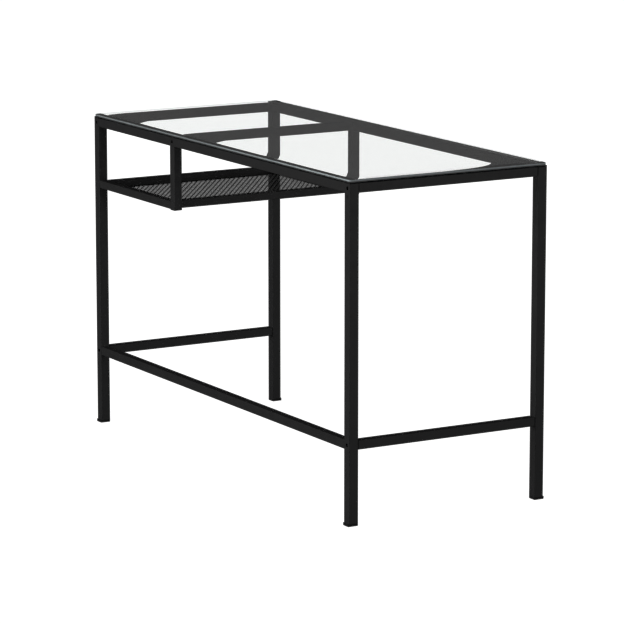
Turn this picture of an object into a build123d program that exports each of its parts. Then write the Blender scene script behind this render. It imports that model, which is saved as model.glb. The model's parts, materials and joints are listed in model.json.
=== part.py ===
from build123d import *

import os
from math import ceil

# Glass-topped computer desk with a fixed mesh tray, on a bolted steel tube frame.
#
# Millimetres, +Z up. The origin is on the floor, under the centre of the desk.
# X runs along the desk and Y from the user (-Y, open for the knees) to the back (+Y).
# The tray hangs at the +X end, between two short posts and the right-hand legs.

# ---- Overall sizes ---------------------------------------------------------
desk_length = 1200.0  # over the outer faces of the legs, along X
desk_depth = 500.0  # over the outer faces of the legs, along Y
desk_height = 755.0  # floor to the top of the glass

# ---- Glass top and its seats -----------------------------------------------
glass_thickness = 5.0
glass_corner_radius = 8.0
glass_arris = 0.5  # ground edge chamfer
pad_thickness = 1.0  # clear disc between leg plug and glass
pad_diameter = 14.0

# ---- Steel tubes -----------------------------------------------------------
leg_width = 22.0
leg_wall = 1.2
member_setback = 1.0  # faces of beams, stretchers and posts lie this far inside the leg faces
member_wall = 1.2
tube_corner = 1.2  # outer corner radius of every tube
tube_inner_corner = 0.3
beam_gap = 4.0  # open slit between the beams and the glass
stretcher_height = 178.0  # floor to the centre line of the low stretchers

# ---- Tray ------------------------------------------------------------------
tray_bay_width = 363.0  # clear width between a hanger post and a leg
tray_clearance = 130.0  # clear height between the tray rails and the beams
rail_width = 20.0
rail_height = 18.0
rail_end_plate = 2.0  # closes each end of the back and front rails
key_slot_width = 9.0  # slots under those rails, to reach the tray bolts
key_slot_length = 34.0
angle_thickness = 1.0  # angle strips that carry the mesh
angle_flange = 8.0
angle_upstand = 10.0
mesh_thickness = 1.0
mesh_pitch_x = 17.6  # long way of the diamond openings
mesh_pitch_y = 13.1  # short way of the diamond openings
mesh_strand = 2.0
mesh_edge = 3.0  # least solid edge around the openings

# ---- Plastic plugs and feet ------------------------------------------------
plug_flange = 1.5
plug_depth = 5.0
plug_clearance = 0.1  # per side, inside a tube
foot_height = 6.0
foot_lip = 2.5  # how far a foot stands out past its leg, front or back
foot_plug_depth = 20.0
foot_sole_chamfer = 0.8
foot_lead_in = 0.2  # chamfer on the end that goes up into the leg
blank_plug_drop = 18.0  # push-in plug in the back left leg, below the beam's centre line
blank_plug_hole = 6.0
blank_plug_head = 8.0
blank_plug_head_height = 0.6

# ---- Bolts, inserts and nuts (M5) ------------------------------------------
bolt_diameter = 5.0
bolt_length = 16.0
bolt_head_diameter = 8.5
bolt_head_height = 5.0
socket_across_flats = 4.0
socket_depth = 2.5
head_clearance = 0.25  # on the radius, where a bolt head passes a tube's outer wall
shank_clearance = 0.25  # on the radius, where a bolt passes a wall or plate
thread_clearance = 0.05  # on the radius, between bolt and thread
insert_length = 12.0
insert_clearance = 0.1
nut_width = 9.0
nut_thickness = 4.0

# ---- Places worked out from the sizes above --------------------------------
half_length = desk_length / 2
half_depth = desk_depth / 2
leg_x = half_length - leg_width / 2
leg_y = half_depth - leg_width / 2
leg_inner_x = half_length - leg_width
leg_inner_y = half_depth - leg_width
leg_core_width = leg_width - 2 * leg_wall - 2 * plug_clearance
member_width = leg_width - 2 * member_setback
member_core_width = member_width - 2 * member_wall - 2 * plug_clearance
insert_width = member_width - 2 * member_wall - 2 * insert_clearance
access_hole_diameter = bolt_head_diameter + 2 * head_clearance
clearance_hole_diameter = bolt_diameter + 2 * shank_clearance
glass_bottom = desk_height - glass_thickness
leg_top = glass_bottom - pad_thickness - plug_flange
beam_top = glass_bottom - beam_gap
beam_z = beam_top - member_width / 2
beam_bottom = beam_top - member_width
beam_inner_y = leg_y - member_width / 2
tray_top = beam_bottom - tray_clearance
tray_bottom = tray_top - rail_height
tray_bolt_z = tray_top - rail_height / 2
post_face_x = leg_inner_x - tray_bay_width
post_x = post_face_x - member_width / 2
tray_inner_low_x = post_face_x + rail_width
tray_inner_high_x = leg_inner_x - rail_width
tray_inner_y = leg_y + member_width / 2 - rail_width
rail_y = tray_inner_y + rail_width / 2
tray_centre_x = (tray_inner_low_x + tray_inner_high_x) / 2
tray_inner_width = tray_inner_high_x - tray_inner_low_x
blank_plug_z = beam_z - blank_plug_drop

corners = {
    "back_right": (1, 1),
    "back_left": (-1, 1),
    "front_left": (-1, -1),
    "front_right": (1, -1),
}

os.makedirs("parts", exist_ok=True)


def save(build, name):
    """Label a finished piece and write it as its own STEP file."""
    build.part.label = name
    export_step(build.part, f"parts/{name}.step")


def tube(plane, width, height, wall, length):
    """Rounded rectangular tube: its section lies on plane, its length runs along the normal."""
    with BuildPart() as body:
        with BuildSketch(plane):
            RectangleRounded(width, height, tube_corner)
            RectangleRounded(
                width - 2 * wall,
                height - 2 * wall,
                tube_inner_corner,
                mode=Mode.SUBTRACT,
            )
        extrude(amount=length)
    return body


def along_x(x, y, z):
    """Section plane whose normal is +X; its own x axis is Y."""
    return Plane(origin=(x, y, z), x_dir=(0, 1, 0), z_dir=(1, 0, 0))


def along_y(x, y, z):
    """Section plane whose normal is +Y; its own x axis is X."""
    return Plane(origin=(x, y, z), x_dir=(1, 0, 0), z_dir=(0, 1, 0))


def drill(body, centre, direction, diameter, depth):
    """Round hole in body from centre, cut along direction to the given depth."""
    opposite = tuple(-value for value in direction)
    with body:
        with Locations(Plane(origin=centre, z_dir=opposite)):
            Hole(diameter / 2, depth=depth)


def cap_bolt(plane):
    """Socket-head bolt: plane lies under the head, its normal points out of the head."""
    with BuildPart() as bolt:
        with BuildSketch(plane):
            Circle(bolt_head_diameter / 2)
        extrude(amount=bolt_head_height)
        with BuildSketch(plane):
            Circle(bolt_diameter / 2)
        extrude(amount=-bolt_length)
        with BuildSketch(plane.offset(bolt_head_height)):
            RegularPolygon(socket_across_flats / 2, side_count=6, major_radius=False)
        extrude(amount=-socket_depth, mode=Mode.SUBTRACT)
    return bolt


def threaded_block(plane, width, thickness):
    """Square block behind plane with a threaded bore through it."""
    with BuildPart() as block:
        with BuildSketch(plane):
            RectangleRounded(width, width, tube_inner_corner)
            Circle(bolt_diameter / 2 + thread_clearance, mode=Mode.SUBTRACT)
        extrude(amount=-thickness)
    return block


def save_group(builds, name):
    """Write identical separate solids as one node."""
    group = Compound(children=[build.part for build in builds])
    group.label = name
    export_step(group, f"parts/{name}.step")


# ---- Legs, with their feet, top plugs and glass pads -----------------------
for corner, (side_x, side_y) in corners.items():
    centre_x, centre_y = side_x * leg_x, side_y * leg_y
    outer_y, inner_y = side_y * half_depth, side_y * leg_inner_y
    into_desk = (0, -side_y, 0)

    leg = tube(
        Plane(origin=(centre_x, centre_y, foot_height)),
        leg_width,
        leg_width,
        leg_wall,
        leg_top - foot_height,
    )
    for bolt_z in (beam_z, stretcher_height):
        drill(leg, (centre_x, outer_y, bolt_z), into_desk, access_hole_diameter, 2 * leg_wall)
        drill(leg, (centre_x, centre_y, bolt_z), into_desk, clearance_hole_diameter, leg_width)
    if side_x > 0:
        tray_hole = (leg_inner_x - leg_wall, side_y * rail_y, tray_bolt_z)
        drill(leg, tray_hole, (1, 0, 0), clearance_hole_diameter, 3 * leg_wall)
    if corner == "back_left":
        blank_centre = (centre_x, outer_y + leg_wall, blank_plug_z)
        drill(leg, blank_centre, into_desk, blank_plug_hole, 3 * leg_wall)
    save(leg, f"leg_{corner}")

    with BuildPart() as foot:
        with BuildSketch(Plane(origin=(centre_x, centre_y + side_y * foot_lip / 2, 0))):
            RectangleRounded(leg_width, leg_width + foot_lip, tube_corner)
        extrude(amount=foot_height)
        chamfer(foot.edges().group_by(Axis.Z)[0], length=foot_sole_chamfer)
        with BuildSketch(Plane(origin=(centre_x, centre_y, foot_height))):
            RectangleRounded(leg_core_width, leg_core_width, tube_inner_corner)
        extrude(amount=foot_plug_depth)
        chamfer(foot.edges().group_by(Axis.Z)[-1], length=foot_lead_in)
    save(foot, f"foot_{corner}")

    with BuildPart() as top_plug:
        with BuildSketch(Plane(origin=(centre_x, centre_y, leg_top))):
            RectangleRounded(leg_width, leg_width, tube_corner)
        extrude(amount=plug_flange)
        with BuildSketch(Plane(origin=(centre_x, centre_y, leg_top))):
            RectangleRounded(leg_core_width, leg_core_width, tube_inner_corner)
        extrude(amount=-plug_depth)
    save(top_plug, f"leg_plug_{corner}")

    with BuildPart() as pad:
        with BuildSketch(Plane(origin=(centre_x, centre_y, leg_top + plug_flange))):
            Circle(pad_diameter / 2)
        extrude(amount=pad_thickness)
    save(pad, f"glass_pad_{corner}")

# ---- Glass top -------------------------------------------------------------
with BuildPart() as glass_top:
    with BuildSketch(Plane.XY.offset(glass_bottom)):
        RectangleRounded(desk_length, desk_depth, glass_corner_radius)
    extrude(amount=glass_thickness)
    top_rim = glass_top.edges().group_by(Axis.Z)[-1]
    bottom_rim = glass_top.edges().group_by(Axis.Z)[0]
    chamfer(top_rim + bottom_rim, length=glass_arris)
save(glass_top, "glass_top")

# ---- Long beams, the back stretcher and the hanger posts -------------------
for name, side_y in (("back", 1), ("front", -1)):
    beam = tube(
        along_x(-leg_inner_x, side_y * leg_y, beam_z),
        member_width,
        member_width,
        member_wall,
        2 * leg_inner_x,
    )
    beam_face_y = side_y * (leg_y + member_width / 2)
    into_desk = (0, -side_y, 0)
    drill(beam, (post_x, beam_face_y, beam_z), into_desk, access_hole_diameter, 2 * member_wall)
    beam_centre = (post_x, side_y * leg_y, beam_z)
    drill(beam, beam_centre, into_desk, clearance_hole_diameter, member_width)
    save(beam, f"beam_{name}")

    post = tube(
        Plane(origin=(post_x, side_y * leg_y, tray_bottom)),
        member_width,
        member_width,
        member_wall,
        beam_bottom - tray_bottom,
    )
    tray_hole = (post_face_x + member_wall, side_y * rail_y, tray_bolt_z)
    drill(post, tray_hole, (-1, 0, 0), clearance_hole_diameter, 3 * member_wall)
    save(post, f"post_{name}")

    with BuildPart() as post_plug:
        with BuildSketch(Plane(origin=(post_x, side_y * leg_y, tray_bottom))):
            RectangleRounded(member_width, member_width, tube_corner)
        extrude(amount=-plug_flange)
        with BuildSketch(Plane(origin=(post_x, side_y * leg_y, tray_bottom))):
            RectangleRounded(member_core_width, member_core_width, tube_inner_corner)
        extrude(amount=plug_depth / 2)
    save(post_plug, f"post_plug_{name}")

stretcher_back = tube(
    along_x(-leg_inner_x, leg_y, stretcher_height),
    member_width,
    member_width,
    member_wall,
    2 * leg_inner_x,
)
save(stretcher_back, "stretcher_back")

# ---- End beams and end stretchers between the legs, and the cross beam -----
end_span = 2 * leg_inner_y
for name, centre_x in (("left", -leg_x), ("right", leg_x)):
    for kind, height in (("beam", beam_z), ("stretcher", stretcher_height)):
        member = tube(
            along_y(centre_x, -leg_inner_y, height),
            member_width,
            member_width,
            member_wall,
            end_span,
        )
        save(member, f"{kind}_{name}")

beam_cross = tube(
    along_y(post_x, -beam_inner_y, beam_z),
    member_width,
    member_width,
    member_wall,
    2 * beam_inner_y,
)
save(beam_cross, "beam_cross")

# ---- Tray rails ------------------------------------------------------------
for name, side_y in (("back", 1), ("front", -1)):
    rail_end = along_x(post_face_x, side_y * rail_y, tray_bolt_z)
    slot_inset = rail_end_plate + key_slot_length / 2 + member_wall
    slot_xs = (post_face_x + slot_inset, leg_inner_x - slot_inset)
    with BuildPart() as rail:
        with BuildSketch(rail_end):
            RectangleRounded(rail_width, rail_height, tube_corner)
        extrude(amount=tray_bay_width)
        with BuildSketch(rail_end.offset(rail_end_plate)):
            RectangleRounded(
                rail_width - 2 * member_wall,
                rail_height - 2 * member_wall,
                tube_inner_corner,
            )
        extrude(amount=tray_bay_width - 2 * rail_end_plate, mode=Mode.SUBTRACT)
        with BuildSketch(Plane.XY.offset(tray_bottom)):
            with Locations([(slot_x, side_y * rail_y) for slot_x in slot_xs]):
                SlotOverall(key_slot_length, key_slot_width)
        extrude(amount=2 * member_wall, mode=Mode.SUBTRACT)
    low_end = (post_face_x, side_y * rail_y, tray_bolt_z)
    high_end = (leg_inner_x, side_y * rail_y, tray_bolt_z)
    drill(rail, low_end, (1, 0, 0), clearance_hole_diameter, 2 * rail_end_plate)
    drill(rail, high_end, (-1, 0, 0), clearance_hole_diameter, 2 * rail_end_plate)
    save(rail, f"tray_rail_{name}")

tray_side_centres = {
    "left": tray_inner_low_x - rail_width / 2,
    "right": tray_inner_high_x + rail_width / 2,
}
for name, centre_x in tray_side_centres.items():
    rail = tube(
        along_y(centre_x, -tray_inner_y, tray_bolt_z),
        rail_width,
        rail_height,
        member_wall,
        2 * tray_inner_y,
    )
    save(rail, f"tray_rail_{name}")

# ---- Angle strips inside the rails, which carry the mesh -------------------


def angle_strip(plane, length):
    """L-section whose back is at the plane's origin and whose flange points along its x axis."""
    with BuildPart() as strip:
        with BuildSketch(plane):
            Rectangle(angle_flange, angle_thickness, align=(Align.MIN, Align.MIN))
            Rectangle(angle_thickness, angle_upstand, align=(Align.MIN, Align.MIN))
        extrude(amount=length)
    return strip


side_strip_length = 2 * tray_inner_y
end_strip_length = tray_inner_width - 2 * angle_flange
strip_planes = {
    "left": (
        Plane(
            origin=(tray_inner_low_x, tray_inner_y, tray_bottom),
            x_dir=(1, 0, 0),
            z_dir=(0, -1, 0),
        ),
        side_strip_length,
    ),
    "right": (
        Plane(
            origin=(tray_inner_high_x, -tray_inner_y, tray_bottom),
            x_dir=(-1, 0, 0),
            z_dir=(0, 1, 0),
        ),
        side_strip_length,
    ),
    "back": (
        Plane(
            origin=(tray_inner_high_x - angle_flange, tray_inner_y, tray_bottom),
            x_dir=(0, -1, 0),
            z_dir=(-1, 0, 0),
        ),
        end_strip_length,
    ),
    "front": (
        Plane(
            origin=(tray_inner_low_x + angle_flange, -tray_inner_y, tray_bottom),
            x_dir=(0, 1, 0),
            z_dir=(1, 0, 0),
        ),
        end_strip_length,
    ),
}
for name, (plane, length) in strip_planes.items():
    save(angle_strip(plane, length), f"tray_angle_{name}")

# ---- Expanded-metal mesh, lying on the angle flanges -----------------------
mesh_length_x = tray_inner_width - 2 * angle_thickness
mesh_length_y = 2 * tray_inner_y - 2 * angle_thickness
# A strand of the stated width runs between neighbouring openings.
strand_slope = (mesh_pitch_x**2 + mesh_pitch_y**2) ** 0.5
opening_scale = 1 - mesh_strand * strand_slope / (mesh_pitch_x * mesh_pitch_y)
half_opening_x = mesh_pitch_x / 2 * opening_scale
half_opening_y = mesh_pitch_y / 2 * opening_scale
reach_x = mesh_length_x / 2 - mesh_edge - half_opening_x
reach_y = mesh_length_y / 2 - mesh_edge - half_opening_y
columns = ceil(2 * reach_x / mesh_pitch_x)
rows = ceil(2 * reach_y / mesh_pitch_y)


def closed_outline(points):
    """Closed straight-sided outline through points given in the sketch plane."""
    return Wire.make_polygon([Vector(x, y, 0) for x, y in points])


mesh_border = closed_outline(
    [
        (side_x * mesh_length_x / 2, side_y * mesh_length_y / 2)
        for side_x, side_y in ((1, 1), (-1, 1), (-1, -1), (1, -1))
    ]
)
openings = []
for column in range(-columns, columns + 1):
    for row in range(-rows, rows + 1):
        opening_x = column * mesh_pitch_x / 2
        opening_y = row * mesh_pitch_y / 2
        staggered = (column + row) % 2 == 0
        if staggered and abs(opening_x) <= reach_x and abs(opening_y) <= reach_y:
            openings.append(
                closed_outline(
                    [
                        (opening_x + half_opening_x, opening_y),
                        (opening_x, opening_y + half_opening_y),
                        (opening_x - half_opening_x, opening_y),
                        (opening_x, opening_y - half_opening_y),
                    ]
                )
            )

with BuildPart() as tray_mesh:
    with BuildSketch(Plane(origin=(tray_centre_x, 0, tray_bottom + angle_thickness))):
        add(Face(mesh_border, openings))
    extrude(amount=mesh_thickness)
save(tray_mesh, "tray_mesh")

# ---- Fasteners -------------------------------------------------------------
bolt_seat_y = leg_inner_y + leg_wall
cross_seat_y = beam_inner_y + member_wall
for name, height in (("beam", beam_z), ("stretcher", stretcher_height)):
    end_bolts, end_inserts = [], []
    for side_x, side_y in corners.values():
        end_bolts.append(
            cap_bolt(
                Plane(origin=(side_x * leg_x, side_y * bolt_seat_y, height), z_dir=(0, side_y, 0))
            )
        )
        end_inserts.append(
            threaded_block(
                Plane(origin=(side_x * leg_x, side_y * leg_inner_y, height), z_dir=(0, side_y, 0)),
                insert_width,
                insert_length,
            )
        )
    save_group(end_bolts, f"{name}_bolts")
    save_group(end_inserts, f"{name}_inserts")

cross_bolts, cross_inserts = [], []
for side_y in (1, -1):
    cross_bolts.append(
        cap_bolt(Plane(origin=(post_x, side_y * cross_seat_y, beam_z), z_dir=(0, side_y, 0)))
    )
    cross_inserts.append(
        threaded_block(
            Plane(origin=(post_x, side_y * beam_inner_y, beam_z), z_dir=(0, side_y, 0)),
            insert_width,
            insert_length,
        )
    )
save_group(cross_bolts, "cross_beam_bolts")
save_group(cross_inserts, "cross_beam_inserts")

tray_bolts, tray_nuts = [], []
for side_y in (1, -1):
    for face_x, wall, inwards in (
        (post_face_x, member_wall, 1),
        (leg_inner_x, leg_wall, -1),
    ):
        seat_x = face_x + inwards * rail_end_plate
        nut_x = face_x - inwards * wall
        tray_bolts.append(
            cap_bolt(Plane(origin=(seat_x, side_y * rail_y, tray_bolt_z), z_dir=(inwards, 0, 0)))
        )
        tray_nuts.append(
            threaded_block(
                Plane(origin=(nut_x, side_y * rail_y, tray_bolt_z), z_dir=(inwards, 0, 0)),
                nut_width,
                nut_thickness,
            )
        )
save_group(tray_bolts, "tray_bolts")
save_group(tray_nuts, "tray_nuts")

with BuildPart() as blank_plug:
    blank_face = Plane(origin=(-leg_x, half_depth, blank_plug_z), z_dir=(0, 1, 0))
    with BuildSketch(blank_face):
        Circle(blank_plug_head / 2)
    extrude(amount=blank_plug_head_height)
    with BuildSketch(blank_face):
        Circle(blank_plug_hole / 2 - thread_clearance)
    extrude(amount=-2 * leg_wall)
save(blank_plug, "leg_blank_plug")
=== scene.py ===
"""Looks of the glass-topped computer desk with a mesh tray.

Metres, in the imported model's frame: +Z up, +Y towards the back of the desk, tray at the +X end.
"""
import json
import math

import bmesh
import bpy
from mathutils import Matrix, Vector


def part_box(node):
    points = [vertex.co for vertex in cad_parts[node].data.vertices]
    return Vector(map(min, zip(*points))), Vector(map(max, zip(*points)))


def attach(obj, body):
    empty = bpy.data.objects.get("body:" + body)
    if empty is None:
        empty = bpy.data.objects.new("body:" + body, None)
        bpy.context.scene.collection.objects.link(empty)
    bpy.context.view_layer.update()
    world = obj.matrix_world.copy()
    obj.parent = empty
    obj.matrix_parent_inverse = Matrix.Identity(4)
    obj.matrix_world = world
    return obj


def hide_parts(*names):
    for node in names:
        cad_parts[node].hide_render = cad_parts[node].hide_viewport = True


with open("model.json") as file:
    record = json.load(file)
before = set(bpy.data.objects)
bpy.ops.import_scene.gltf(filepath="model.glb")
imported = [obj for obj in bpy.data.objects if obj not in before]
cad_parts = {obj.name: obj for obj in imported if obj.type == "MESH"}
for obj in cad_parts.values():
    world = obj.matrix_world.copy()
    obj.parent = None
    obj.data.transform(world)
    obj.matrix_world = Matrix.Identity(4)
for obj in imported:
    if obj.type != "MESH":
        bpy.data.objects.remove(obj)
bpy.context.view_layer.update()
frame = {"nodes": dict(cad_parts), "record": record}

MM = 0.001
nodes = frame["nodes"]
scene = bpy.context.scene

LEG_LOW, LEG_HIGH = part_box("leg_back_right")
LEG_MIDDLE = (LEG_LOW + LEG_HIGH) / 2
LEG_HALF = (LEG_HIGH.x - LEG_LOW.x) / 2
BEAM_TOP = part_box("beam_back")[1].z
GLASS_LOW, GLASS_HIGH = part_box("glass_top")


# ---- Node helpers ----------------------------------------------------------

NOISE_LOW, NOISE_HIGH = 0.3, 0.7  # nearly all noise values lie between these


class Shader:
    """A material with one Principled BSDF, and short calls that add nodes to it."""

    def __init__(self, name, **values):
        self.material = bpy.data.materials.new(name)
        self.material.use_nodes = True
        self.tree = self.material.node_tree
        self.bsdf = self.tree.nodes["Principled BSDF"]
        self.output = self.tree.nodes["Material Output"]
        for socket, value in values.items():
            self.bsdf.inputs[socket.replace("_", " ")].default_value = value

    def node(self, kind, **inputs):
        """New node; inputs are values or the sockets that feed them."""
        made = self.tree.nodes.new(kind)
        for socket, value in inputs.items():
            self.feed(made.inputs[socket.replace("_", " ")], value)
        return made

    def feed(self, socket, value):
        """Link value to the socket if it comes from a node, or else set it there."""
        if isinstance(value, bpy.types.NodeSocket):
            self.tree.links.new(value, socket)
        else:
            socket.default_value = value

    def set(self, socket, value):
        """The same for a socket of the Principled BSDF."""
        self.feed(self.bsdf.inputs[socket], value)

    def place(self):
        """Position on the object, in metres."""
        return self.node("ShaderNodeTexCoord").outputs["Object"]

    def axes(self):
        """The three coordinates on the object, which are those of the desk."""
        split = self.node("ShaderNodeSeparateXYZ", Vector=self.place())
        return split.outputs["X"], split.outputs["Y"], split.outputs["Z"]

    def noise(self, size, detail=3.0):
        """Noise value from 0 to 1, with features about size metres across."""
        made = self.node("ShaderNodeTexNoise", Vector=self.place(), Scale=1 / size, Detail=detail)
        return made.outputs["Fac"]

    def mottled(self, noise, low, high):
        """Colour that goes from low to high with the noise."""
        made = self.node("ShaderNodeValToRGB", Fac=noise)
        first, last = made.color_ramp.elements
        first.position, first.color = NOISE_LOW, (*low, 1)
        last.position, last.color = NOISE_HIGH, (*high, 1)
        return made.outputs["Color"]

    def uneven(self, noise, low, high):
        """Number that goes from low to high with the noise."""
        return self.span(noise, low, high, NOISE_LOW, NOISE_HIGH)

    def span(self, value, low, high, start=0.0, end=1.0):
        """value mapped from start..end to low..high."""
        made = self.node("ShaderNodeMapRange", Value=value)
        made.inputs["From Min"].default_value = start
        made.inputs["From Max"].default_value = end
        made.inputs["To Min"].default_value = low
        made.inputs["To Max"].default_value = high
        return made.outputs["Result"]

    def calc(self, operation, first, second=0.0):
        """Result of a Math node on one or two numbers."""
        made = self.node("ShaderNodeMath")
        made.operation = operation
        self.feed(made.inputs[0], first)
        self.feed(made.inputs[1], second)
        return made.outputs["Value"]

    def distance(self, coordinate, place):
        """How far the coordinate's size is from place."""
        size = self.calc("ABSOLUTE", coordinate)
        return self.calc("ABSOLUTE", self.calc("SUBTRACT", size, place))

    def near(self, coordinate, place, inner, outer):
        """1 where the coordinate's size is within inner of place, falling to 0 at outer."""
        return self.span(self.distance(coordinate, place), 1.0, 0.0, inner, outer)

    def dimmed(self, colour, factor):
        """The colour multiplied by the factor."""
        made = self.node("ShaderNodeVectorMath")
        made.operation = "SCALE"
        self.feed(made.inputs[0], colour)
        self.feed(made.inputs["Scale"], factor)
        return made.outputs["Vector"]

    def bump(self, height, depth, normal=None):
        """Normals of a relief of this depth in metres, over those of another relief if given."""
        made = self.node("ShaderNodeBump", Height=height, Distance=depth, Strength=1.0)
        if normal is not None:
            self.feed(made.inputs["Normal"], normal)
        return made.outputs["Normal"]


# ---- Materials -------------------------------------------------------------

# painted shade along the legs' corners
CORNER_SHADE_SHARE = 0.35  # share of the full darkening
COAT_DARKEST = 0.1      # share of the colour left where it is darkest
GLASS_TINT = (0.934, 0.938, 0.936, 1)
GLASS_MIRRORED = 0.07   # share of the light
PAINTED_EDGE_GLOW = 0.6


def toned(tone, factor):
    """The colour made darker or lighter by the factor."""
    return tuple(factor * channel for channel in tone)


def powder_coat(name, tone):
    """Satin black powder coat: orange peel, a fine grain and a faint unevenness in gloss, with
    painted shade in the seams at the legs, along the legs' corners and on the upper faces under
    the glass.
    """
    coat = Shader(name, IOR=1.45, Specular_IOR_Level=0.35)
    colour = coat.mottled(coat.noise(90 * MM, detail=4), toned(tone, 0.86), toned(tone, 1.14))
    satin = coat.uneven(coat.noise(20 * MM, detail=5), 0.44, 0.58)
    across, along, up = coat.axes()
    from_leg_x = coat.distance(across, LEG_MIDDLE.x)
    from_leg_y = coat.distance(along, LEG_MIDDLE.y)
    # painted shade in the seam where an end beam or stretcher meets a leg
    seam_shade = coat.calc(
        "MULTIPLY",
        coat.near(from_leg_x, LEG_HALF, inner=1.2 * MM, outer=2.0 * MM),
        coat.near(from_leg_y, LEG_HALF + 1 * MM, inner=0.8 * MM, outer=1.2 * MM),
    )
    # painted shade along the legs' rounded corners
    corner = coat.calc(
        "MULTIPLY",
        coat.near(from_leg_x, LEG_HALF, inner=0.8 * MM, outer=2.0 * MM),
        coat.near(from_leg_y, LEG_HALF, inner=0.8 * MM, outer=2.0 * MM),
    )
    # upper faces in the shade of the glass
    shaded = coat.span(up, 0.0, 1.0, start=BEAM_TOP - 0.4 * MM, end=BEAM_TOP - 0.1 * MM)
    painted_shade = coat.calc("MAXIMUM", seam_shade, shaded)
    painted_shade = coat.calc("MAXIMUM", painted_shade, coat.calc("MULTIPLY", corner, CORNER_SHADE_SHARE))
    coat.set("Base Color", coat.dimmed(colour, coat.span(painted_shade, 1.0, COAT_DARKEST)))
    coat.set("Roughness", coat.calc("MAXIMUM", satin, painted_shade))
    peel = coat.bump(coat.noise(2.2 * MM, detail=1), 0.02 * MM)
    grain = coat.bump(coat.noise(0.4 * MM, detail=2), 0.006 * MM, normal=peel)
    coat.set("Normal", grain)
    return coat.material


def moulded_plastic(name, tone, roughness):
    """Matt polyethylene with a fine spark-eroded texture."""
    plastic = Shader(name, IOR=1.5, Specular_IOR_Level=0.2)
    colour_noise = plastic.noise(6 * MM, detail=4)
    plastic.set("Base Color", plastic.mottled(colour_noise, toned(tone, 0.8), toned(tone, 1.2)))
    gloss_noise = plastic.noise(3 * MM)
    plastic.set("Roughness", plastic.uneven(gloss_noise, roughness - 0.06, roughness + 0.06))
    plastic.set("Normal", plastic.bump(plastic.noise(0.25 * MM, detail=1), 0.012 * MM))
    return plastic.material


def clear_glass(name):
    """Clear float glass: it bends what is behind it and mirrors a few per cent."""
    glass = Shader(name)
    bend = glass.node("ShaderNodeBsdfRefraction", Color=GLASS_TINT, IOR=1.5, Roughness=0.0)
    mirror = glass.node("ShaderNodeBsdfGlossy", Color=(1, 1, 1, 1), Roughness=0.02)
    mix = glass.node("ShaderNodeMixShader", Fac=GLASS_MIRRORED)
    glass.feed(mix.inputs[1], bend.outputs["BSDF"])
    glass.feed(mix.inputs[2], mirror.outputs["BSDF"])
    glass.feed(glass.output.inputs["Surface"], mix.outputs["Shader"])
    return glass.material


def glass_edge(name):
    """Ground edge of the glass: pale blue-green, half frosted, with a painted highlight along its
    middle and painted shade towards its right end.
    """
    edge = Shader(name, IOR=1.5, Roughness=0.35, Emission_Color=(0.8, 0.87, 0.85, 1))
    colour = edge.mottled(edge.noise(20 * MM, detail=4), (0.59, 0.64, 0.655), (0.72, 0.77, 0.785))
    across, _, up = edge.axes()
    # painted highlight along the middle of the edge
    middle = edge.near(up, GLASS_LOW.z + 2.9 * MM, inner=1.0 * MM, outer=2.2 * MM)
    # painted shade: darker from the left end towards the right
    painted_shade_to_right = edge.span(across, low=1.0, high=0.65, start=-0.5, end=0.1)
    painted_light = edge.calc("MULTIPLY", edge.span(middle, low=0.55, high=1.2), painted_shade_to_right)
    edge.set("Base Color", edge.dimmed(colour, painted_light))
    edge.set("Normal", edge.bump(edge.noise(0.6 * MM, detail=2), 0.01 * MM))
    # painted glow on the far edges' inner side, in place of the light that comes in through them
    inner_side = edge.node("ShaderNodeNewGeometry").outputs["Backfacing"]
    edge.set("Emission Strength", edge.calc("MULTIPLY", inner_side, PAINTED_EDGE_GLOW))
    return edge.material


def shade_strip_shader(name):
    """Black closed-cell foam, for the strips that paint shade in the slit under the glass."""
    foam = Shader(name, Roughness=0.9, Specular_IOR_Level=0.1)
    cells = foam.noise(0.8 * MM)
    foam.set("Base Color", foam.mottled(cells, (0.003, 0.003, 0.003), (0.008, 0.008, 0.008)))
    foam.set("Normal", foam.bump(cells, 0.08 * MM))
    return foam.material


def clear_silicone(name):
    """Slightly cloudy clear bumper disc."""
    disc = Shader(name, IOR=1.41, Transmission_Weight=0.85)
    cloud = disc.noise(4 * MM)
    disc.set("Base Color", disc.mottled(cloud, (0.72, 0.75, 0.74), (0.85, 0.87, 0.86)))
    disc.set("Roughness", disc.uneven(disc.noise(2 * MM), 0.2, 0.35))
    return disc.material


def plated_steel(name, tone, metallic, roughness):
    """Plated or blackened steel with fine turning marks."""
    steel = Shader(name, Metallic=metallic)
    steel.set("Base Color", steel.mottled(steel.noise(4 * MM, detail=4), toned(tone, 0.8), tone))
    gloss_noise = steel.noise(1.5 * MM)
    steel.set("Roughness", steel.uneven(gloss_noise, roughness - 0.08, roughness + 0.08))
    steel.set("Normal", steel.bump(steel.noise(0.3 * MM, detail=1), 0.006 * MM))
    return steel.material


looks = {
    "black_powder_coat": powder_coat("black_powder_coat", (0.0165, 0.0165, 0.0172)),
    # the same black powder coat, made darker to paint shade onto the tray's mesh
    "mesh_black_powder_coat": powder_coat("mesh_black_powder_coat", (0.008, 0.008, 0.0083)),
    "clear_glass": clear_glass("clear_glass"),
    "glass_edge": glass_edge("glass_edge"),
    "shade_strip_black": shade_strip_shader("shade_strip_black"),
    "black_plastic": moulded_plastic("black_plastic", (0.006, 0.006, 0.0063), roughness=0.6),
    "clear_silicone": clear_silicone("clear_silicone"),
    "black_oxide_steel": plated_steel(
        "black_oxide_steel", (0.03, 0.03, 0.033), metallic=0.6, roughness=0.42
    ),
    "zinc_plated_steel": plated_steel(
        "zinc_plated_steel", (0.6, 0.61, 0.63), metallic=1.0, roughness=0.35
    ),
}

for part in frame["record"]["subparts"]:
    for slot in nodes[part["node"]].material_slots:
        slot.material = looks[part["material_slot"]]


# ---- Mesh helpers ----------------------------------------------------------

CORNER_STEPS = 8
RUN_SHARES = (0.04, 0.08, 0.12, 0.16, 0.2, 0.32, 0.6, 1.0)


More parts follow.
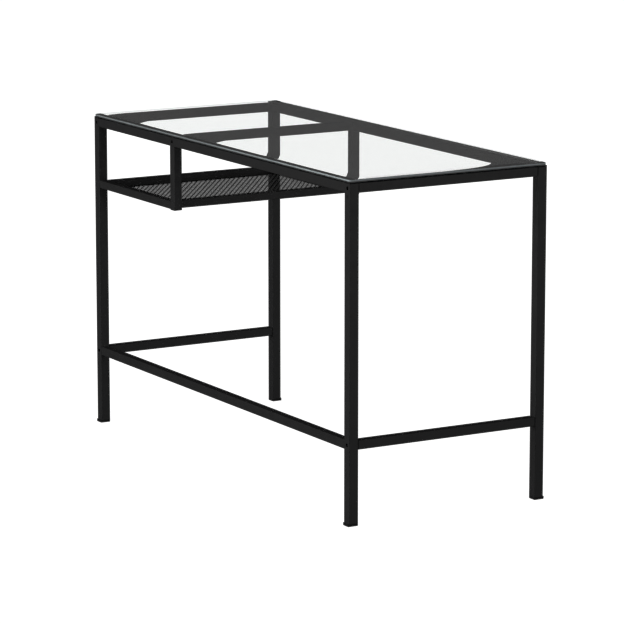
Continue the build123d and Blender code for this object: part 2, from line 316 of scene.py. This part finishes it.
def rounded_outline(half_x, half_y, radius, reach):
    """Points round a rounded rectangle, counter-clockwise from above.

    Each straight run has extra points, closest together near its two ends, as far as reach.
    """
    offsets = [radius + (reach - radius) * share for share in RUN_SHARES]
    points = []
    for quarter, (side_x, side_y) in enumerate(((1, 1), (-1, 1), (-1, -1), (1, -1))):
        for step in range(CORNER_STEPS + 1):
            angle = math.pi / 2 * (quarter + step / CORNER_STEPS)
            x = side_x * (half_x - radius) + radius * math.cos(angle)
            y = side_y * (half_y - radius) + radius * math.sin(angle)
            points.append((x, y))
        # the run that starts here goes along -X, -Y, +X, +Y in turn
        ahead_x, ahead_y = ((-1, 0), (0, -1), (1, 0), (0, 1))[quarter]
        length = 2 * (half_x if ahead_x else half_y)
        for along in offsets + [length - offset for offset in reversed(offsets)]:
            points.append((side_x * half_x + ahead_x * along, side_y * half_y + ahead_y * along))
    return points


def ring_of(mesh, outline, z):
    """The outline's points as vertices at the height z."""
    return [mesh.verts.new((x, y, z)) for x, y in outline]


def bridge(mesh, lower, upper, material, smooth):
    """Faces between two rings, facing outwards when lower is below or outside upper."""
    count = len(lower)
    for i in range(count):
        j = (i + 1) % count
        face = mesh.faces.new((lower[i], lower[j], upper[j], upper[i]))
        face.material_index = material
        face.smooth = smooth


def cap(mesh, bottom, top):
    """The flat ends of a stack of rings."""
    mesh.faces.new(list(reversed(bottom)))
    mesh.faces.new(top)


def soft_body(mesh, rings):
    """Closed body through the rings, smooth along its sides."""
    for lower, upper in zip(rings, rings[1:]):
        bridge(mesh, lower, upper, 0, True)
    cap(mesh, rings[0], rings[-1])


def add_piece(name, mesh, *materials):
    """Object in the scene with the finished mesh and these materials."""
    data = bpy.data.meshes.new(name)
    mesh.to_mesh(data)
    mesh.free()
    for material in materials:
        data.materials.append(looks[material])
    piece = bpy.data.objects.new(name, data)
    scene.collection.objects.link(piece)
    return piece


# ---- Glass top: flat plate with a ground edge and a softly eased border ----

GLASS_CORNER = 8 * MM
GLASS_ARRIS = 0.5 * MM
LEAST_CORNER = 2 * MM  # of the rings on the polished face
RUN_REACH = 60 * MM
RING_INSETS = [
    inset * MM for inset in (0.5, 1.5, 3, 5, 7, 9, 11, 13, 15, 17, 20, 26, 33, 40, 47, 54)
]
POLISHED, GROUND = 0, 1  # the plate's materials
FACES_UP = 0.99          # least upward part of a top face's normal

# Outward lean of the polished face's normals, as slopes
BROAD_REACH = RING_INSETS[-1]
BACK_BROAD = 0.008
BACK_STEEP, BACK_REACH, BACK_POWER, BACK_LIMIT = 0.64, 18 * MM, 2.7, 0.13
FRONT_STEEP, FRONT_REACH, FRONT_POWER, FRONT_LIMIT = 0.38, 19.5 * MM, 2, 0.24
LEFT_END, RIGHT_END = 0.0125, 0.006
FADE_START, FADE_END = 20 * MM, 60 * MM  # of the ends' lean, from the long sides


def falloff(inset, reach):
    """1 at the side of the plate, falling evenly to 0 at reach from it."""
    return max(0.0, 1 - inset / reach)


def lean_at_back(inset):
    """Lean over the back side: weak and broad, and steep close to the side."""
    broad = BACK_BROAD * falloff(inset, BROAD_REACH)
    steep = BACK_STEEP * falloff(inset, BACK_REACH) ** BACK_POWER
    return min(BACK_LIMIT, broad + steep)


def lean_at_front(inset):
    """Lean over the front side, so strong that the beam below shows up to the outline."""
    return min(FRONT_LIMIT, FRONT_STEEP * falloff(inset, FRONT_REACH) ** FRONT_POWER)


def lean_at_end(inset, from_long_side, most):
    """Lean over either end, which fades out towards the long sides."""
    fade = (from_long_side - FADE_START) / (FADE_END - FADE_START)
    return most * falloff(inset, BROAD_REACH) * min(1.0, max(0.0, fade))


def eased_normal(point):
    """Shading normal of the polished face at this point."""
    from_end, from_long_side = GLASS_HIGH.x - abs(point.x), GLASS_HIGH.y - abs(point.y)
    most = LEFT_END if point.x < 0 else RIGHT_END
    lean_x = math.copysign(lean_at_end(from_end, from_long_side, most), point.x)
    lean_y = lean_at_back(from_long_side) if point.y > 0 else -lean_at_front(from_long_side)
    return Vector((lean_x, lean_y, 1)).normalized()


def plate_with_eased_border():
    """The glass top: a flat plate whose shading normals lean outwards near its border."""
    half_x, half_y = GLASS_HIGH.x, GLASS_HIGH.y
    mesh = bmesh.new()

    def ring(inset, z, radius):
        outline = rounded_outline(half_x - inset, half_y - inset, radius, RUN_REACH - inset)
        return ring_of(mesh, outline, z)

    bottom = ring(GLASS_ARRIS, GLASS_LOW.z, GLASS_CORNER - GLASS_ARRIS)
    side_low = ring(0, GLASS_LOW.z + GLASS_ARRIS, GLASS_CORNER)
    side_high = ring(0, GLASS_HIGH.z - GLASS_ARRIS, GLASS_CORNER)
    bridge(mesh, bottom, side_low, GROUND, False)
    bridge(mesh, side_low, side_high, GROUND, False)
    top = [
        ring(inset, GLASS_HIGH.z, max(GLASS_CORNER - inset, LEAST_CORNER))
        for inset in RING_INSETS
    ]
    bridge(mesh, side_high, top[0], GROUND, False)
    for outer, inner in zip(top, top[1:]):
        bridge(mesh, outer, inner, POLISHED, True)
    cap(mesh, bottom, top[-1])
    plate = add_piece("glass_plate", mesh, "clear_glass", "glass_edge")

    normals = []
    for face in plate.data.polygons:
        on_top = face.normal.z > FACES_UP
        for index in face.vertices:
            point = plate.data.vertices[index].co
            normals.append(eased_normal(point) if on_top else face.normal.copy())
    plate.data.normals_split_custom_set(normals)
    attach(plate, "root")
    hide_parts("glass_top")


plate_with_eased_border()


# ---- Low black strips on the end beams that paint shade in the slit under the glass ---

STRIP_WIDTH = 5 * MM
STRIP_HEIGHT = 2 * MM
STRIP_CORNER = 1.5 * MM
FROM_INNER_SIDE = 1 * MM   # of the beam
FROM_BEAM_ENDS = 12 * MM
# share of the height, and inset there in mm
STRIP_PROFILE = ((0.0, 0.4), (0.2, 0.1), (0.5, 0.0), (0.8, 0.1), (1.0, 0.4))


def shade_strip(name, beam):
    """Low strip with rounded corners and bulging sides, along the beam's inner top edge, that
    paints shade in the slit under the glass.
    """
    low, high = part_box(beam)
    half_x, half_y = STRIP_WIDTH / 2, high.y - FROM_BEAM_ENDS
    inwards = FROM_INNER_SIDE + half_x
    centre = low.x + inwards if low.x > 0 else high.x - inwards
    mesh = bmesh.new()
    rings = []
    for share, pulled_in in STRIP_PROFILE:
        inset = pulled_in * MM
        outline = rounded_outline(half_x - inset, half_y - inset, STRIP_CORNER, STRIP_WIDTH)
        placed = [(centre + x, y) for x, y in outline]
        rings.append(ring_of(mesh, placed, high.z + share * STRIP_HEIGHT))
    soft_body(mesh, rings)
    strip = add_piece(name, mesh, "shade_strip_black")
    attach(strip, "root")


shade_strip("shade_strip_left", "beam_left")
shade_strip("shade_strip_right", "beam_right")


# ---- Weld beads, under the powder coat -------------------------------------

BEAD_RADIUS = 1.5 * MM
RAIL_BEAD_RADIUS = 1.2 * MM
BEAD_SIDES = 8
BEAD_STEP = 0.45 * MM
RIPPLE_PITCH = 1.9 * MM
RIPPLE_HEIGHT = 0.08  # as a share of the radius
BEAD_GAP = 2 * MM     # from the bead's end to the tube's corner
TAPER_START, TAPER_RATE = 0.3, 8  # share of the radius at the ends, and its rise


def weld_bead(mesh, start, end, radius=BEAD_RADIUS):
    """Rippled bead with tapered ends along the straight line where two tubes meet."""
    start, end = Vector(start), Vector(end)
    length = (end - start).length
    ahead = (end - start) / length
    side = ahead.orthogonal().normalized()
    up = ahead.cross(side)
    steps = round(length / BEAD_STEP)
    rings = []
    for step in range(steps + 1):
        share = step / steps
        taper = min(1.0, TAPER_START + TAPER_RATE * min(share, 1 - share))
        ripple = 1 + RIPPLE_HEIGHT * math.cos(2 * math.pi * share * length / RIPPLE_PITCH)
        reach = radius * taper * ripple
        middle = start + share * (end - start)
        ring = []
        for corner in range(BEAD_SIDES):
            angle = 2 * math.pi * corner / BEAD_SIDES
            outwards = math.cos(angle) * side + math.sin(angle) * up
            ring.append(mesh.verts.new(middle + reach * outwards))
        rings.append(ring)
    soft_body(mesh, rings)


def weld_beads():
    """Beads at the welded tubes' undersides and inner faces; outer faces are ground flush."""
    mesh = bmesh.new()
    for name in ("beam_back", "beam_front", "stretcher_back"):
        low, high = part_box(name)
        inner_y = low.y if low.y > 0 else high.y
        for x in (low.x, high.x):
            weld_bead(mesh, (x, low.y + BEAD_GAP, low.z), (x, high.y - BEAD_GAP, low.z))
            weld_bead(mesh, (x, inner_y, low.z + BEAD_GAP), (x, inner_y, high.z - BEAD_GAP))
    for name in ("post_back", "post_front"):
        low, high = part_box(name)
        for x in (low.x, high.x):
            weld_bead(mesh, (x, low.y + BEAD_GAP, high.z), (x, high.y - BEAD_GAP, high.z))
    # upright beads in the tray frame's inner corners; each rail comes with its box's inner corner
    for side_rail, inner_x in (("tray_rail_left", 1), ("tray_rail_right", 0)):
        for long_rail, inner_y in (("tray_rail_back", 0), ("tray_rail_front", 1)):
            side_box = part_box(side_rail)
            x, y = side_box[inner_x].x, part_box(long_rail)[inner_y].y
            foot, head = side_box[0].z + BEAD_GAP, side_box[1].z - BEAD_GAP
            weld_bead(mesh, (x, y, foot), (x, y, head), RAIL_BEAD_RADIUS)
    beads = add_piece("weld_beads", mesh, "black_powder_coat")
    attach(beads, "root")


weld_beads()


# ---- Camera, at the viewing angle of the reference view --------------------

CAMERA_PLACE = (-6.9384, 4.0207, 1.8991)
CAMERA_HEADING = math.radians(-30.126)  # from +X, positive towards +Y
CAMERA_DIP = math.radians(10.957)
FOCAL_LENGTH = 203.8  # mm
SENSOR_WIDTH = 36.0   # mm
FAR_CLIP = 200.0      # past the floor's rim


def facing(direction):
    """Rotation of a camera or lamp that points along the direction."""
    return direction.to_track_quat("-Z", "Y").to_euler()


camera_data = bpy.data.cameras.new("camera")
camera_data.sensor_width = SENSOR_WIDTH
camera_data.lens = FOCAL_LENGTH
camera_data.clip_end = FAR_CLIP
camera = bpy.data.objects.new("camera", camera_data)
scene.collection.objects.link(camera)
camera.location = CAMERA_PLACE
level = math.cos(CAMERA_DIP)
view = Vector((
    math.cos(CAMERA_HEADING) * level,
    math.sin(CAMERA_HEADING) * level,
    -math.sin(CAMERA_DIP),
))
camera.rotation_euler = facing(view)
scene.camera = camera


# ---- Floor and studio light ------------------------------------------------

FLOOR_RADIUS = 60.0
FLOOR_GLOW = 0.97
AMBIENT = 0.12   # the surroundings, as they light the matt surfaces
BACKDROP = 1.0   # as the camera sees them, also through the glass
IN_GLOSS = 0.01  # as the glossy surfaces mirror them


def plain_white(name, strength):
    """Even white surface for the floor."""
    material = bpy.data.materials.new(name)
    material.use_nodes = True
    shader = material.node_tree.nodes["Principled BSDF"]
    shader.inputs["Base Color"].default_value = (0.3, 0.3, 0.3, 1)
    shader.inputs["Roughness"].default_value = 1.0
    shader.inputs["Specular IOR Level"].default_value = 0.0
    shader.inputs["Emission Color"].default_value = (1, 1, 1, 1)
    shader.inputs["Emission Strength"].default_value = strength
    return material


bpy.ops.mesh.primitive_circle_add(
    vertices=96, radius=FLOOR_RADIUS, fill_type="NGON", location=(0, 0, 0)
)
floor = bpy.context.object
floor.name = "floor"
floor.data.materials.append(plain_white("floor_white", FLOOR_GLOW))
floor.visible_diffuse = False
floor.visible_glossy = False

world = bpy.data.worlds.new("studio")
scene.world = world
world.use_nodes = True
sky = world.node_tree
ambient = sky.nodes["Background"]
backdrop = sky.nodes.new("ShaderNodeBackground")
in_gloss = sky.nodes.new("ShaderNodeBackground")
for light, strength in ((ambient, AMBIENT), (backdrop, BACKDROP), (in_gloss, IN_GLOSS)):
    light.inputs["Color"].default_value = (1, 1, 1, 1)
    light.inputs["Strength"].default_value = strength
paths = sky.nodes.new("ShaderNodeLightPath")
bounces = sky.nodes.new("ShaderNodeMath")
bounces.operation = "ADD"
sky.links.new(paths.outputs["Diffuse Depth"], bounces.inputs[0])
sky.links.new(paths.outputs["Glossy Depth"], bounces.inputs[1])
# 1 for a ray that has met nothing but clear glass
direct = sky.nodes.new("ShaderNodeMath")
direct.operation = "COMPARE"
sky.links.new(bounces.outputs["Value"], direct.inputs[0])
direct.inputs[1].default_value = 0.0
direct.inputs[2].default_value = 0.5
reflected = sky.nodes.new("ShaderNodeMixShader")
sky.links.new(paths.outputs["Is Glossy Ray"], reflected.inputs["Fac"])
sky.links.new(ambient.outputs["Background"], reflected.inputs[1])
sky.links.new(in_gloss.outputs["Background"], reflected.inputs[2])
shown = sky.nodes.new("ShaderNodeMixShader")
sky.links.new(direct.outputs["Value"], shown.inputs["Fac"])
sky.links.new(reflected.outputs["Shader"], shown.inputs[1])
sky.links.new(backdrop.outputs["Background"], shown.inputs[2])
sky.links.new(shown.outputs["Shader"], sky.nodes["World Output"].inputs["Surface"])


def softbox(name, place, aim, width, height, power):
    """Large soft rectangular lamp; power is in watts."""
    data = bpy.data.lights.new(name, "AREA")
    data.shape = "RECTANGLE"
    data.size = width
    data.size_y = height
    data.energy = power
    lamp = bpy.data.objects.new(name, data)
    scene.collection.objects.link(lamp)
    lamp.location = place
    lamp.rotation_euler = facing(Vector(aim) - Vector(place))
    lamp.visible_camera = False
    return lamp


DESK = (0, 0, 0.45)
GLASS = (0, 0, GLASS_HIGH.z)
softbox("key", (1.0, 5.5, 1.2), DESK, 5.0, 3.0, 200)
softbox("fill", (-10.0, -2.0, 1.4), DESK, 7.0, 4.0, 210)
softbox("front", (0.0, -10.0, 2.0), DESK, 8.0, 4.0, 200).visible_glossy = False
softbox("end", (10.0, 0.5, 1.6), DESK, 7.0, 4.0, 200).visible_glossy = False
card = softbox("card", (8.0, -4.64, 2.5), GLASS, 5.0, 3.0, 50)
low_card = softbox("low_card", (8.5, 4.9, 0.9), GLASS, 4.0, 1.6, 40)

# the cards light the glass plate only
mirrored = bpy.data.collections.new("mirrored_in")
mirrored.objects.link(bpy.data.objects["glass_plate"])
for lamp in (card, low_card):
    lamp.light_linking.receiver_collection = mirrored


# ---- Tone: a curve that gives thin dark parts their weight -----------------

COMBINED = 3  # the curve of all three colours
TONE_CURVE = (
    (0.02, 0.0203), (0.05, 0.0288), (0.1, 0.0427), (0.25, 0.105), (0.5, 0.286), (0.75, 0.58)
)

scene.view_settings.view_transform = "Standard"
scene.view_settings.look = "None"
scene.view_settings.exposure = 0.0
scene.view_settings.use_curve_mapping = True
mapping = scene.view_settings.curve_mapping
for rendered, shown_as in TONE_CURVE:
    mapping.curves[COMBINED].points.new(rendered, shown_as)
mapping.update()
